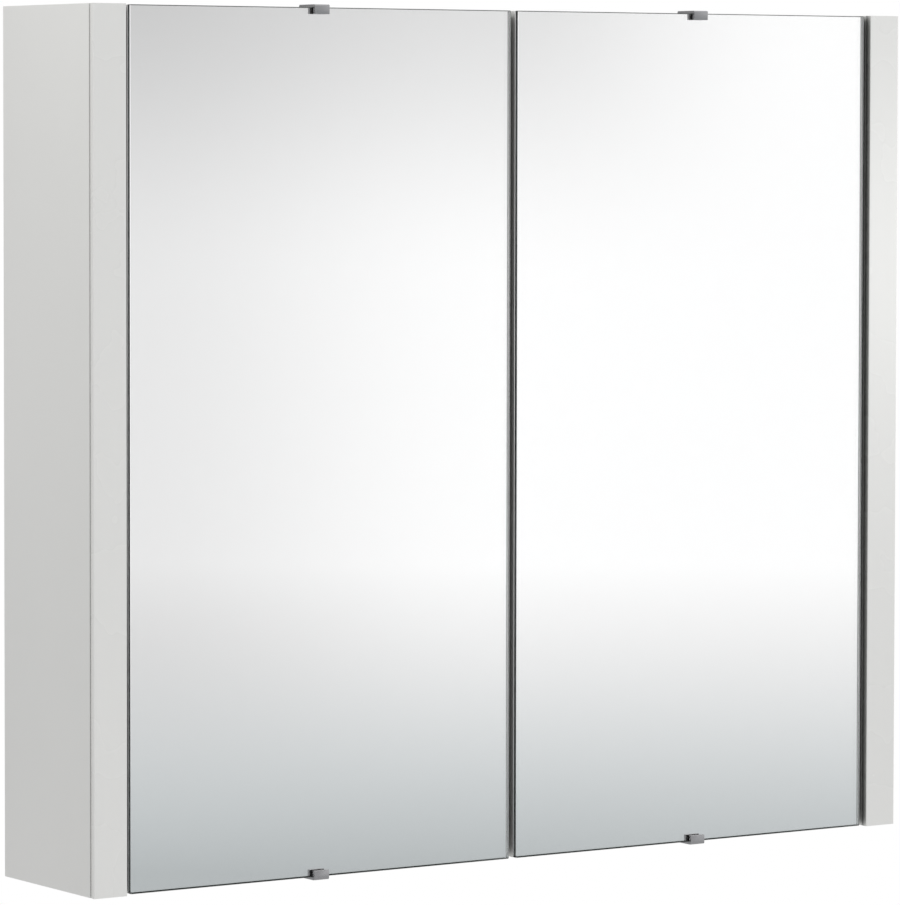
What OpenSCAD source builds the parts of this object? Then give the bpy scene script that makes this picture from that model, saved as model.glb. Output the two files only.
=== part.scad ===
// Two-door mirror wall cabinet: board carcass, glass shelves, inset mirror doors on concealed hinges.
// Origin: centre of the four wall-fixing holes, on the wall plane. +Z up, the doors face -Y.

/* [Cabinet] */
// Outside width over both gables
body_w = 740; // [600:10:900]
// Height of the gables
body_h = 650; // [560:10:800]
// Depth from the wall to the front edge of the gables
body_d = 135; // [130:1:180]
// Thickness of the two gables
gable_t = 28; // [22:1:32]
// Thickness of the top and bottom panels
panel_t = 16; // [15:1:19]
// Thickness of the edging strip on the front of each gable
edging_t = 6; // [5.5:0.1:7]

/* [Doors] */
// Gap between a gable and its door
side_gap = 4.5; // [4.3:0.1:6]
// Gap between the two doors
centre_gap = 6.5; // [6:0.5:10]
// How far the mirrors lie behind the front of the gables
door_recess = 3; // [2:0.1:3.5]
// Thickness of the mirror glass
mirror_t = 4; // [3:0.5:5]
// Thickness of the board behind each mirror
door_board_t = 16; // [16:0.5:18]
// How much shorter a door is than the gables, at each end
door_end_gap = 0.5; // [0.3:0.1:1.5]

/* [Fittings] */
// Distance from a door's end to the middle of its hinge
hinge_inset = 90; // [80:5:120]
// Width of a mirror clip
clip_w = 13; // [12:0.5:25]
// Height of a mirror clip's lip on the glass
clip_lip = 5; // [4:0.1:10]
// Distance of each glass shelf from the middle of the cabinet
shelf_offset = 105; // [90:5:120]

/* [Wall fixing] */
// Distance between the fixing holes, side to side
fixing_w = 560; // [440:10:600]
// Radius of each fixing hole
fixing_r = 3; // [2.5:0.1:3.5]

/* [Boards and glass] */
// Thickness of the back panel
back_t = 3; // [3:0.5:5]
// Thickness of the mounting rails
rail_t = 12; // [10:1:16]
// Height of the mounting rails
rail_h = 70; // [60:5:90]
// Thickness of the glass shelves
shelf_t = 5; // [4:0.5:6]

/* [Hidden] */
$fn = 48;
touch = 0.1;                                // air between pieces that nearly touch
through = 1;                                // how far a cut runs past a face
play = 0.05;                                // air on the radius of a fitting in its hole

// Cabinet: derived places. Side fittings are drawn from the left gable's inner face and front plane.
half_w = body_w / 2;
half_h = body_h / 2;
room_w = body_w - 2 * gable_t;              // clear width between the gables
door_w = (room_w - 2 * side_gap - centre_gap) / 2;
door_h = body_h - 2 * door_end_gap;
door_back = door_recess + mirror_t + door_board_t;
buffer_t = 5;                               // air between a door and the panels behind it
panel_front = door_back + buffer_t;
panel_d = body_d - panel_front;
groove_d = 8;
back_front = body_d - rail_t - back_t;      // front face of the back panel
fixing_h = body_h - 2 * panel_t - rail_h;
module at_left() translate([-half_w + gable_t, -body_d, 0]) children();
module on_side(side) mirror([side > 0 ? 1 : 0, 0, 0]) at_left() children();

// Colours
white = [0.93, 0.93, 0.92];
glass_clear = [0.75, 0.87, 0.84, 0.45];
silver = [0.78, 0.80, 0.82];
silvered = [0.86, 0.89, 0.92];
nickel = [0.62, 0.62, 0.60];
steel = [0.70, 0.71, 0.72];
beech = [0.80, 0.66, 0.46];

// Fittings in the carcass: sizes, and places along the depth from the front plane of the gables
pin_r = 2.5;                                // shelf pins, cam bolts and plate screws share 5 mm holes
pin_hole_depth = 10;
pin_front_y = 40;
pin_back_y = back_front - 12;
pin_rows = [-2:2];
row_step = 32;
dowel_r = 4;
dowel_y = 78;
dowel_in_gable = 12;
dowel_in_panel = 18;
dowel_end_air = 0.5;
bolt_ys = [52, 104];
bolt_hole_depth = 12;
bolt_collar_r = 3.5;
cam_x = 24;
cam_r = 7.5;
cam_depth = 12.5;
cap_r = 9;
cap_t = 1;
plate_y = 37 + door_back;                   // mounting plates' screw line
plate_base_t = 2;
plate_rib_t = 8;
plate_screw_gap = 32;
plate_screw_l = 10.8;
plate_hole_depth = 11;
hinge_z = door_h / 2 - hinge_inset;
panel_mid = half_h - panel_t / 2;           // middle of the top panel's thickness

module both_ends() {
  for (end = [-1, 1]) mirror([0, 0, end < 0 ? 1 : 0]) children();
}
module across(x0, x1, r, y, z) translate([x0, y, z]) rotate([0, 90, 0]) cylinder(h = x1 - x0, r = r);
module deep(y0, y1, r, x, z) translate([x, y0, z]) rotate([-90, 0, 0]) cylinder(h = y1 - y0, r = r);
// Cross recess cut into a head from above; the head's axis is Z and its top is at z = top.
module cross_recess(top, half_l, w, d) {
  for (a = [0, 90]) rotate([0, 0, a])
    translate([-half_l, -w / 2, top - d]) cube([2 * half_l, w, d + through]);
}
// A screw along +Z with its head's underside at z = 0.
module screw(shank_l, shank_r, under_r, rim_r, head_h) {
  recess_reach = 0.65 * rim_r;
  recess_w = 0.28 * rim_r;
  recess_d = 0.55 * head_h;
  difference() {
    union() {
      translate([0, 0, -shank_l]) cylinder(h = shank_l, r = shank_r);
      cylinder(h = head_h, r1 = under_r, r2 = rim_r);
    }
    cross_recess(head_h, recess_reach, recess_w, recess_d);
  }
}

// ---------------------------------------------------------------- carcass
module gable(side) {
  color(white) on_side(side) difference() {
    translate([-gable_t, edging_t, -half_h]) cube([gable_t, body_d - edging_t, body_h]);
    translate([-groove_d, back_front - touch, -half_h - through])
      cube([groove_d + through, back_t + 2 * touch, body_h + 2 * through]);
    for (shelf = [-1, 1], row = pin_rows, y = [pin_front_y, pin_back_y])
      across(-pin_hole_depth, through, pin_r + play, y, shelf * shelf_offset - pin_r + row * row_step);
    both_ends() {
      for (y = bolt_ys) across(-bolt_hole_depth, through, pin_r, y, panel_mid);
      across(-dowel_in_gable - dowel_end_air, through, dowel_r, dowel_y, panel_mid);
      for (dz = [-1, 1])
        across(-plate_hole_depth, through, pin_r, plate_y, hinge_z + dz * plate_screw_gap / 2);
    }
  }
}
// A strip with softened front edges and a shadow joint against the board.
module front_edging(side) {
  round_r = 0.8;
  joint_w = 4;
  joint_d = 2;
  color(white) on_side(side) translate([0, 0, -half_h]) linear_extrude(body_h) {
    translate([-gable_t + round_r, 0]) square([gable_t - 2 * round_r, edging_t]);
    translate([-gable_t, round_r]) square([gable_t, edging_t - joint_w - round_r + touch]);
    translate([-gable_t + joint_d, round_r]) square([gable_t - joint_d, edging_t - round_r]);
    for (x = [-gable_t + round_r, -round_r]) translate([x, round_r]) circle(r = round_r, $fn = 32);
  }
}
// Top panel; the bottom panel is its mirror image.
module end_panel() {
  z0 = half_h - panel_t;
  difference() {
    translate([-room_w / 2, panel_front - body_d, z0]) cube([room_w, panel_d, panel_t]);
    translate([-room_w / 2 - through, back_front - touch - body_d, z0 - through])
      cube([room_w + 2 * through, back_t + 2 * touch, groove_d + through]);
    for (side = [-1, 1]) on_side(side) {
      for (y = bolt_ys) {
        across(-through, cam_x - cam_r + touch, dowel_r, y, panel_mid);
        translate([cam_x, y, half_h - cap_t - cam_depth]) cylinder(h = panel_t, r = cam_r);
        translate([cam_x, y, half_h - cap_t]) cylinder(h = panel_t, r = cap_r);
      }
      across(-through, dowel_in_panel + dowel_end_air, dowel_r, dowel_y, panel_mid);
    }
  }
}
module top_panel() color(white) end_panel();
module bottom_panel() color(white) mirror([0, 0, 1]) end_panel();
module fixing_holes(y0, y1) {
  for (x = [-1, 1] * fixing_w / 2, z = [-1, 1] * fixing_h / 2) deep(y0, y1, fixing_r, x, z);
}
module back_panel() {
  groove_air = 0.5;
  w = room_w + 2 * (groove_d - groove_air);
  h = body_h - 2 * panel_t + 2 * (groove_d - groove_air);
  color(white) difference() {
    translate([-w / 2, back_front - body_d, -h / 2]) cube([w, back_t, h]);
    fixing_holes(-body_d, through);
  }
}
module mounting_rail(end) {
  color(white) mirror([0, 0, end < 0 ? 1 : 0]) difference() {
    translate([-room_w / 2, -rail_t, half_h - panel_t - rail_h]) cube([room_w, rail_t, rail_h]);
    fixing_holes(-body_d, through);
  }
}
module fixing_washers() {
  washer_r = 9;
  washer_t = 1.6;
  bevel = 0.6;
  hole_play = 0.2;
  color(steel) translate([0, back_front - body_d, 0])
    for (x = [-1, 1] * fixing_w / 2, z = [-1, 1] * fixing_h / 2) translate([x, 0, z]) rotate([90, 0, 0])
      difference() {
        cylinder(h = washer_t, r1 = washer_r, r2 = washer_r - bevel);
        translate([0, 0, -through]) cylinder(h = washer_t + 2 * through, r = fixing_r + hole_play);
      }
}
module shelf(end) {
  front = panel_front + 5;
  side_air = 1.5;
  back_air = 2;
  color(glass_clear) translate([-room_w / 2 + side_air, front - body_d, end * shelf_offset])
    cube([room_w - 2 * side_air, back_front - back_air - front, shelf_t]);
}
module shelf_supports() {
  end_air = 0.5;
  reach = 9;
  collar_r = pin_r + 1.5;
  collar_t = 1.4;
  collar_drop = collar_r - pin_r + touch;     // keeps the collar's top under the glass
  color(nickel)
    for (side = [-1, 1], shelf = [-1, 1], y = [pin_front_y, pin_back_y]) on_side(side) {
      z = shelf * shelf_offset - pin_r;
      across(end_air - pin_hole_depth, reach, pin_r, y, z);
      across(touch, touch + collar_t, collar_r, y, z - collar_drop);
    }
}
module cam_locks() {
  lock_r = cam_r - touch;
  lock_h = cam_depth - 0.5;
  slot_w = 1.8;
  slot_d = 2.5;
  rim = 2;
  color(silver) both_ends() for (side = [-1, 1], y = bolt_ys) on_side(side)
    translate([cam_x, y, half_h - cap_t - cam_depth + touch]) difference() {
      cylinder(h = lock_h, r = lock_r);
      cross_recess(lock_h, lock_r - rim, slot_w, slot_d);
    }
}
module cam_bolts() {
  color(steel) both_ends() for (side = [-1, 1], y = bolt_ys) on_side(side) {
    across(touch - bolt_hole_depth, 0, pin_r - play, y, panel_mid);
    across(0, cam_x - cam_r - touch, bolt_collar_r, y, panel_mid);
  }
}
module cam_caps() {
  color(white) both_ends() for (side = [-1, 1], y = bolt_ys) on_side(side)
    translate([cam_x, y, half_h - cap_t + play]) cylinder(h = cap_t - play, r = cap_r - touch);
}
module dowels() {
  color(beech) both_ends() for (side = [-1, 1]) on_side(side)
    across(-dowel_in_gable, dowel_in_panel, dowel_r - play, dowel_y, panel_mid);
}
module door_buffers() {
  foot_r = 4;
  crown_r = 3;
  inset = 30;                                 // from the door's free edge
  color(glass_clear) both_ends() for (side = [-1, 1]) on_side(side)
    translate([side_gap + door_w - inset, panel_front, panel_mid]) rotate([90, 0, 0])
      cylinder(h = buffer_t - touch, r1 = foot_r, r2 = crown_r);
}

// ---------------------------------------------------------------- hinges
// Each hinge is a cup in the door, a pin across it, and a goose-neck arm from the gable to that pin.
hinge_pin_r = 1.2;
pin_air = 0.01;                             // the pin is a press fit in its cup
eye_r = 2.2;
pin_x = side_gap + 10;                      // pin behind the door's outer edge
pin_y = door_recess + mirror_t + 5.6;       // pin behind the mirror's face
cup_r = 17.5;
cup_x = side_gap + 4 + cup_r;
cup_wall = 1.2;
cup_bore_d = 13.5;
cup_floor = 0.6;
cup_rim = 1;
flange_t = 1.2;
flange_half = 26;
flange_side = [-6, 8];                      // flange edges either side of the cup's middle
cup_screw_x = cup_x + 2;
cup_screw_gap = 42;
cup_screw_r = 1.7;
cup_screw_l = 12.2;
neck_half = 4;                              // half the neck's width along Z
neck_t = 3.5;
neck_x = pin_x + 17;                        // where the neck turns back into the cabinet
crank_y = pin_y + 20;
arm_t = 3;
arm_half = 7.5;
arm_seat = plate_rib_t + touch;             // the arm's face on its plate
arm_end_y = plate_y + 26;
arm_screw_ys = [plate_y - 8, plate_y + 12]; // fixing screw, side-adjusting screw
arm_screw_r = 2;

module at_hinge(side, end) on_side(side) translate([0, 0, end * hinge_z]) children();
module mounting_plate(side, end) {
  wing_w = 18;
  wing_half = 23;
  rib_l = 42;
  rib_half = 7;
  rib_front = plate_y - 17;
  tapped_d = 6;
  color(nickel) at_hinge(side, end) difference() {
    union() {
      translate([0, plate_y - wing_w / 2, -wing_half]) cube([plate_base_t, wing_w, 2 * wing_half]);
      translate([0, rib_front, -rib_half]) cube([plate_rib_t, rib_l, 2 * rib_half]);
    }
    for (dz = [-1, 1])
      across(-through, plate_rib_t, pin_r + touch, plate_y, dz * plate_screw_gap / 2);
    across(plate_rib_t - tapped_d, plate_rib_t + through, arm_screw_r + touch, arm_screw_ys[0], 0);
  }
}
module hinge_arm(side, end) {
  side_wall_h = 6;
  side_wall_t = 1.5;
  side_wall_front = crank_y + neck_t / 2 + 4;
  inner = arm_seat + arm_t;
  color(nickel) at_hinge(side, end) difference() {
    union() {
      translate([0, 0, -neck_half]) linear_extrude(2 * neck_half) {
        translate([pin_x, pin_y]) circle(r = eye_r);
        translate([pin_x, pin_y - neck_t / 2]) square([neck_x - pin_x, neck_t]);
        translate([neck_x, pin_y]) circle(r = neck_t / 2);
        translate([neck_x - neck_t / 2, pin_y]) square([neck_t, crank_y - pin_y]);
        translate([neck_x, crank_y]) circle(r = neck_t / 2);
        translate([inner, crank_y - neck_t / 2]) square([neck_x - inner, neck_t]);
      }
      translate([arm_seat, crank_y - neck_t / 2, -arm_half])
        cube([arm_t, arm_end_y - crank_y + neck_t / 2, 2 * arm_half]);
      for (z = [-arm_half, arm_half - side_wall_t])
        translate([inner, side_wall_front, z]) cube([side_wall_h, arm_end_y - side_wall_front, side_wall_t]);
    }
    translate([pin_x, pin_y, -neck_half - through])
      cylinder(h = 2 * (neck_half + through), r = hinge_pin_r + play);
    for (y = arm_screw_ys) across(0, inner + side_wall_h, arm_screw_r + touch, y, 0);
  }
}
// Fixing screw through the arm into its plate, and the side-adjusting screw behind it.
module arm_screws() {
  head_r = 4;
  head_h = 2.4;
  seat = arm_seat + arm_t + touch;
  tips = [plate_rib_t - 5, arm_seat + touch];
  color(silver) for (side = [-1, 1], end = [-1, 1], i = [0, 1]) at_hinge(side, end)
    translate([seat, arm_screw_ys[i], 0]) rotate([0, 90, 0])
      screw(seat - tips[i], arm_screw_r, head_r, head_r, head_h);
}
module plate_screws() {
  under_r = 4.2;
  rim_r = 3.4;
  head_h = 2.2;
  color(silver) for (side = [-1, 1], end = [-1, 1], dz = [-1, 1]) at_hinge(side, end)
    translate([plate_base_t, plate_y, dz * plate_screw_gap / 2]) rotate([0, 90, 0])
      screw(plate_screw_l + plate_base_t, pin_r - play, under_r, rim_r, head_h);
}
module hinge_cup(side, end) {
  hole_r = cup_r - cup_wall;
  front = door_back - cup_bore_d + touch;
  back = door_back + flange_t;
  screw_hole_r = 2;
  color(nickel) at_hinge(side, end) difference() {
    union() {
      deep(front, back, cup_r - touch, cup_x, 0);
      translate([cup_x + flange_side[0], door_back, -flange_half])
        cube([flange_side[1] - flange_side[0], flange_t, 2 * flange_half]);
      deep(door_back, back, cup_r + cup_rim, cup_x, 0);
    }
    deep(front + cup_floor, back + through, hole_r, cup_x, 0);
    for (dz = [-1, 1])
      deep(door_back - through, back + through, screw_hole_r, cup_screw_x, dz * cup_screw_gap / 2);
    translate([pin_x, pin_y, -cup_r]) cylinder(h = 2 * cup_r, r = hinge_pin_r + pin_air);
  }
}
module hinge_pins(side) {
  into_wall = 0.4;
  half_l = sqrt(pow(cup_r - cup_wall, 2) - pow(cup_x - pin_x, 2)) + into_wall;
  color(steel) for (end = [-1, 1]) at_hinge(side, end)
    translate([pin_x, pin_y, -half_l]) cylinder(h = 2 * half_l, r = hinge_pin_r);
}
module cup_screws(side) {
  under_r = 3.4;
  rim_r = 2.6;
  head_h = 1.6;
  color(silver) for (end = [-1, 1], dz = [-1, 1]) at_hinge(side, end)
    translate([cup_screw_x, door_back + flange_t, dz * cup_screw_gap / 2]) rotate([-90, 0, 0])
      screw(cup_screw_l, cup_screw_r, under_r, rim_r, head_h);
}

// ---------------------------------------------------------------- doors
clip_t = 2.2;
clip_lip_t = 2.5;
clip_back_h = 16;
clip_shift = 4;                             // from the middle of the door towards its hinges
clip_x = side_gap + door_w / 2 - clip_shift;
clip_screw_z = door_h / 2 - 9;
clip_screw_r = 1.5;
clip_screw_l = 10.3;
clip_head_r = 2.8;
clip_head_h = 1.2;
screw_hole_d = 12;

module door_board(side) {
  front = door_recess + mirror_t;
  color(white) on_side(side) difference() {
    translate([side_gap, front, -door_h / 2]) cube([door_w, door_board_t, door_h]);
    both_ends() {
      deep(door_back - cup_bore_d, door_back + through, cup_r, cup_x, hinge_z);
      for (dz = [-1, 1]) deep(door_back - screw_hole_d, door_back + through, cup_screw_r + play,
        cup_screw_x, hinge_z + dz * cup_screw_gap / 2);
      translate([clip_x - clip_w / 2 - touch, door_back - clip_t, door_h / 2 - clip_back_h - touch])
        cube([clip_w + 2 * touch, clip_t + through, clip_back_h + through]);
      deep(door_back - screw_hole_d, door_back, clip_screw_r + play, clip_x, clip_screw_z);
    }
  }
}
module door_mirror(side) {
  color(silvered) on_side(side)
    translate([side_gap, door_recess, -door_h / 2]) cube([door_w, mirror_t, door_h]);
}
// Bent strip over the end of a door: a lip on the glass, a bridge, and a leg screwed behind.
module mirror_clip(side, end) {
  sink_d = clip_head_h + touch;
  color(nickel) on_side(side) mirror([0, 0, end < 0 ? 1 : 0]) difference() {
    translate([clip_x - clip_w / 2, 0, 0]) union() {
      translate([0, door_recess - clip_lip_t, door_h / 2 - clip_lip])
        cube([clip_w, clip_lip_t, clip_lip + clip_t]);
      translate([0, door_recess, door_h / 2]) cube([clip_w, door_back - door_recess, clip_t]);
      translate([0, door_back - clip_t, door_h / 2 - clip_back_h]) cube([clip_w, clip_t, clip_back_h]);
    }
    deep(door_back - clip_t - through, door_back + through, clip_screw_r + touch, clip_x, clip_screw_z);
    translate([clip_x, door_back - sink_d, clip_screw_z]) rotate([-90, 0, 0])
      cylinder(h = sink_d + play, r1 = clip_screw_r + touch, r2 = clip_head_r + 2 * touch);
  }
}
module clip_screws(side) {
  color(silver) on_side(side) both_ends()
    translate([clip_x, door_back - clip_head_h - play, clip_screw_z]) rotate([-90, 0, 0])
      screw(clip_screw_l, clip_screw_r, clip_screw_r, clip_head_r, clip_head_h);
}

gable(-1);  // left_gable
gable(1);  // right_gable
front_edging(-1);  // left_front_edging
front_edging(1);  // right_front_edging
top_panel();
bottom_panel();
back_panel();
mounting_rail(1);  // upper_mounting_rail
mounting_rail(-1);  // lower_mounting_rail
fixing_washers();
shelf(1);  // upper_shelf
shelf(-1);  // lower_shelf
shelf_supports();
cam_locks();
cam_bolts();
cam_caps();
dowels();
door_buffers();
mounting_plate(-1, 1);  // left_upper_mounting_plate
mounting_plate(-1, -1);  // left_lower_mounting_plate
mounting_plate(1, 1);  // right_upper_mounting_plate
mounting_plate(1, -1);  // right_lower_mounting_plate
hinge_arm(-1, 1);  // left_upper_hinge_arm
hinge_arm(-1, -1);  // left_lower_hinge_arm
hinge_arm(1, 1);  // right_upper_hinge_arm
hinge_arm(1, -1);  // right_lower_hinge_arm
plate_screws();
arm_screws();
door_board(-1);  // left_door_board
door_mirror(-1);  // left_mirror
mirror_clip(-1, 1);  // left_top_clip
mirror_clip(-1, -1);  // left_bottom_clip
clip_screws(-1);  // left_clip_screws
hinge_cup(-1, 1);  // left_upper_hinge_cup
hinge_cup(-1, -1);  // left_lower_hinge_cup
hinge_pins(-1);  // left_hinge_pins
cup_screws(-1);  // left_cup_screws
door_board(1);  // right_door_board
door_mirror(1);  // right_mirror
mirror_clip(1, 1);  // right_top_clip
mirror_clip(1, -1);  // right_bottom_clip
clip_screws(1);  // right_clip_screws
hinge_cup(1, 1);  // right_upper_hinge_cup
hinge_cup(1, -1);  // right_lower_hinge_cup
hinge_pins(1);  // right_hinge_pins
cup_screws(1);  // right_cup_screws
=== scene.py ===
"""Looks of a two-door mirror cabinet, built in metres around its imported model.

Each sub-assembly is a class that makes its own pieces, each finish is a frozen dataclass that makes its
own material, and the fittings that repeat come from geometry node trees.
"""

import logging
import math
from dataclasses import dataclass
from enum import Enum
from functools import lru_cache, reduce
from typing import Sequence, Union

import bmesh
import bpy
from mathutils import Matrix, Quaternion, Vector


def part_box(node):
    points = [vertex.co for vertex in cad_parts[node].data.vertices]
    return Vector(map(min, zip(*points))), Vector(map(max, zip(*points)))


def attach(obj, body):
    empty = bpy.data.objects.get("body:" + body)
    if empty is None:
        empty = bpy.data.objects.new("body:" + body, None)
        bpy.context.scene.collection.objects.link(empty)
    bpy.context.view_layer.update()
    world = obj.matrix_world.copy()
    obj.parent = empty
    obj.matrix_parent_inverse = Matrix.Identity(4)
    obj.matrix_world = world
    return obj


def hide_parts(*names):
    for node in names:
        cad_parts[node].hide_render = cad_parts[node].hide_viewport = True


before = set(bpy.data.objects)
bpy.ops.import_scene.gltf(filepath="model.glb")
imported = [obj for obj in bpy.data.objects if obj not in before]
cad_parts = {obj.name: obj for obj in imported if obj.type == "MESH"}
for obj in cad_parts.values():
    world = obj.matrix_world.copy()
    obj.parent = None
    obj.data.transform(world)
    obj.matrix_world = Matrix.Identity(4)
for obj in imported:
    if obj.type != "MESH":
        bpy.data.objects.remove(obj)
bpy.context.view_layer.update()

Socket = bpy.types.NodeSocket
Sockets = bpy.types.NodeOutputs
Node = bpy.types.Node
Tree = bpy.types.NodeTree
Object = bpy.types.Object
BMesh = bmesh.types.BMesh
Colour = tuple[float, float, float]
Fade = tuple[float, float, float, float]
Value = Union[float, int, bool, str, Sequence[float], Socket, bpy.types.ID]

log = logging.getLogger("mirror_cabinet")

MM = 0.001
WELD = 0.001 * MM           # vertices closer than this are one
FLAT = math.radians(0.5)    # faces within this angle are one plane
CREASE = math.radians(30)   # an edge sharper than this is a real edge of the part
SMOOTH = math.radians(25)   # shading runs over edges softer than this


# ---- node wiring
class Wiring:
    """Adds nodes to one tree and wires each of them in a single call."""

    def __init__(self, tree: Tree) -> None:
        """Keeps the tree that the nodes go into."""
        self.tree = tree

    def feed(self, socket: Socket, value: Value) -> None:
        """Links a socket to another one, or sets its own value.

        Args:
            socket: The socket to fill.
            value: The socket that it is linked to, or its plain value.
        """
        if isinstance(value, Socket):
            self.tree.links.new(value, socket)
        else:
            socket.default_value = value

    def add(self, kind: str, inputs: dict[Union[str, int], Value] | None = None,
            **settings: Value) -> Node:
        """Adds one node.

        Args:
            kind: The node's type name.
            inputs: What goes into its sockets, by name or place.
            settings: The node's own properties.

        Returns:
            The node.
        """
        node = self.tree.nodes.new(kind)
        for key, value in settings.items():
            setattr(node, key, value)
        self.fill(node, inputs or {})
        return node

    def fill(self, node: Node, inputs: dict[Union[str, int], Value]) -> None:
        """Feeds several of a node's sockets, by name or place."""
        for key, value in inputs.items():
            self.feed(node.inputs[key], value)

    def times(self, *terms: Value) -> Socket:
        """The product of all the terms."""
        return reduce(lambda product, term: self.math("MULTIPLY", product, term), terms)

    def math(self, operation: str, *terms: Value, clamp: bool = False) -> Socket:
        """Adds a Math node.

        Args:
            operation: Its operation, such as MULTIPLY.
            terms: Its one, two or three terms.
            clamp: Whether the result is kept from 0 to 1.

        Returns:
            The result's socket.
        """
        node = self.add("ShaderNodeMath", dict(enumerate(terms)), operation=operation, use_clamp=clamp)
        return node.outputs[0]

    def ramp(self, value: Value, low: Value, high: Value, at_low: float = 0.0,
             at_high: float = 1.0) -> Socket:
        """Maps a range smoothly to another one, and holds the ends outside it.

        Args:
            value: What is mapped.
            low: The range's start.
            high: The range's end.
            at_low: The result at the start.
            at_high: The result at the end.

        Returns:
            The result's socket.
        """
        node = self.add(
            "ShaderNodeMapRange",
            {"Value": value, "From Min": low, "From Max": high, "To Min": at_low, "To Max": at_high},
            interpolation_type="SMOOTHSTEP",
        )
        return node.outputs["Result"]

    def mix(self, share: Value, first: Value, second: Value) -> Socket:
        """Mixes two colours and returns the result's socket."""
        node = self.add("ShaderNodeMix", {0: share, 6: first, 7: second}, data_type="RGBA")
        return node.outputs[2]

    def noise(self, vector: Value, scale: Value, detail: float = 2.0) -> Socket:
        """Adds a Noise Texture and returns its factor."""
        node = self.add("ShaderNodeTexNoise", {"Vector": vector, "Scale": scale, "Detail": detail})
        return node.outputs[0]

    def place(self) -> Socket:
        """The place on the part, in its own metres."""
        return self.add("ShaderNodeTexCoord").outputs["Object"]

    def vector(self, x: Value = 0.0, y: Value = 0.0, z: Value = 0.0) -> Socket:
        """Joins three numbers into a vector."""
        return self.add("ShaderNodeCombineXYZ", {0: x, 1: y, 2: z}).outputs[0]


def rgba(colour: Colour) -> tuple[float, float, float, float]:
    """A colour with full alpha, as the sockets want it."""
    return (*colour, 1.0)


def shader_group(name: str, inputs: dict[str, tuple[str, Value]],
                 outputs: dict[str, str]) -> tuple[Wiring, Sockets, bpy.types.NodeInputs]:
    """Starts a shader node group with named sockets.

    Args:
        name: The group's name.
        inputs: Kind and default of each input, by name.
        outputs: Kind of each output, by name.

    Returns:
        The group's wiring, the sockets that it is given and the sockets that it fills.
    """
    group = bpy.data.node_groups.new(name, "ShaderNodeTree")
    for label, (kind, default) in inputs.items():
        socket = group.interface.new_socket(label, in_out="INPUT", socket_type="NodeSocket" + kind)
        socket.default_value = default
    for label, kind in outputs.items():
        group.interface.new_socket(label, in_out="OUTPUT", socket_type="NodeSocket" + kind)
    wiring = Wiring(group)
    return wiring, wiring.add("NodeGroupInput").outputs, wiring.add("NodeGroupOutput").inputs


@lru_cache(maxsize=None)
def grain_group() -> Tree:
    """Fine surface grain: a Height for bump and a broad Mottle for colour and gloss.

    Returns:
        The group.
    """
    wiring, given, result = shader_group(
        "fine_grain",
        {"Scale": ("Float", 900.0), "Stretch": ("Vector", (1.0, 1.0, 1.0))},
        {"Height": "Float", "Mottle": "Float"},
    )
    place = wiring.place()
    drawn = wiring.add("ShaderNodeMapping", {"Vector": place, "Scale": given["Stretch"]})
    scale = given["Scale"]
    fine = wiring.noise(drawn.outputs[0], scale, 3.0)
    middle = wiring.noise(drawn.outputs[0], wiring.times(scale, 0.22), 2.0)
    broad = wiring.noise(place, wiring.times(scale, 0.016), 3.0)
    wiring.feed(result["Height"], wiring.math("MULTIPLY_ADD", fine, 0.45, middle))
    wiring.feed(result["Mottle"], broad)
    return wiring.tree


@lru_cache(maxsize=None)
def wear_group() -> Tree:
    """Edge wear: a Mask that is strongest on the part's arrises and broken up by noise.

    Returns:
        The group.
    """
    wiring, given, result = shader_group(
        "edge_wear",
        {"Radius": ("Float", 0.8 * MM), "Amount": ("Float", 0.5)},
        {"Mask": "Float"},
    )
    rounded = wiring.add("ShaderNodeBevel", {"Radius": given["Radius"]}, samples=4)
    true = wiring.add("ShaderNodeNewGeometry").outputs["Normal"]
    dot = wiring.add("ShaderNodeVectorMath", {0: rounded.outputs[0], 1: true}, operation="DOT_PRODUCT")
    bent = wiring.math("SUBTRACT", 1.0, dot.outputs["Value"])
    place = wiring.place()
    broken = wiring.ramp(wiring.noise(place, 260.0, 4.0), 0.38, 0.66)
    edge = wiring.times(wiring.ramp(bent, 0.02, 0.22), broken)
    wiring.feed(result["Mask"], wiring.math("MULTIPLY", edge, given["Amount"], clamp=True))
    return wiring.tree


@lru_cache(maxsize=None)
def dust_group() -> Tree:
    """A film of dust on what faces up: a Cover from 0 to Amount.

    Returns:
        The group.
    """
    wiring, given, result = shader_group(
        "settled_dust", {"Amount": ("Float", 0.3)}, {"Cover": "Float"}
    )
    normal = wiring.add("ShaderNodeNewGeometry").outputs["Normal"]
    up = wiring.ramp(wiring.add("ShaderNodeSeparateXYZ", {0: normal}).outputs["Z"], 0.55, 0.95)
    place = wiring.place()
    specks = wiring.ramp(wiring.noise(place, 1400.0, 1.0), 0.35, 0.75, 0.3, 1.0)
    drift = wiring.ramp(wiring.noise(place, 22.0, 3.0), 0.35, 0.65, 0.4, 1.0)
    cover = wiring.times(up, specks, drift)
    wiring.feed(result["Cover"], wiring.times(cover, given["Amount"]))
    return wiring.tree


@lru_cache(maxsize=None)
def painted_gap_shade_group() -> Tree:
    """Painted shade deep in narrow gaps: a Mask that is strongest where least light gets in.

    Returns:
        The group.
    """
    wiring, given, result = shader_group(
        "painted_gap_shade",
        {
            "Reach": ("Float", 12 * MM), "Amount": ("Float", 0.9),
            "Full below": ("Float", 0.2), "None above": ("Float", 0.7),
        },
        {"Mask": "Float"},
    )
    # painted shade: the mask is strongest where ambient occlusion finds the gap closed, standing in for
    # the shade that falls there
    open_to = wiring.add("ShaderNodeAmbientOcclusion", {"Distance": given["Reach"]}, samples=8)
    shut = wiring.ramp(
        open_to.outputs["AO"], given["Full below"], given["None above"], 1.0, 0.0
    )
    wiring.feed(result["Mask"], wiring.times(shut, given["Amount"]))
    return wiring.tree


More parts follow.
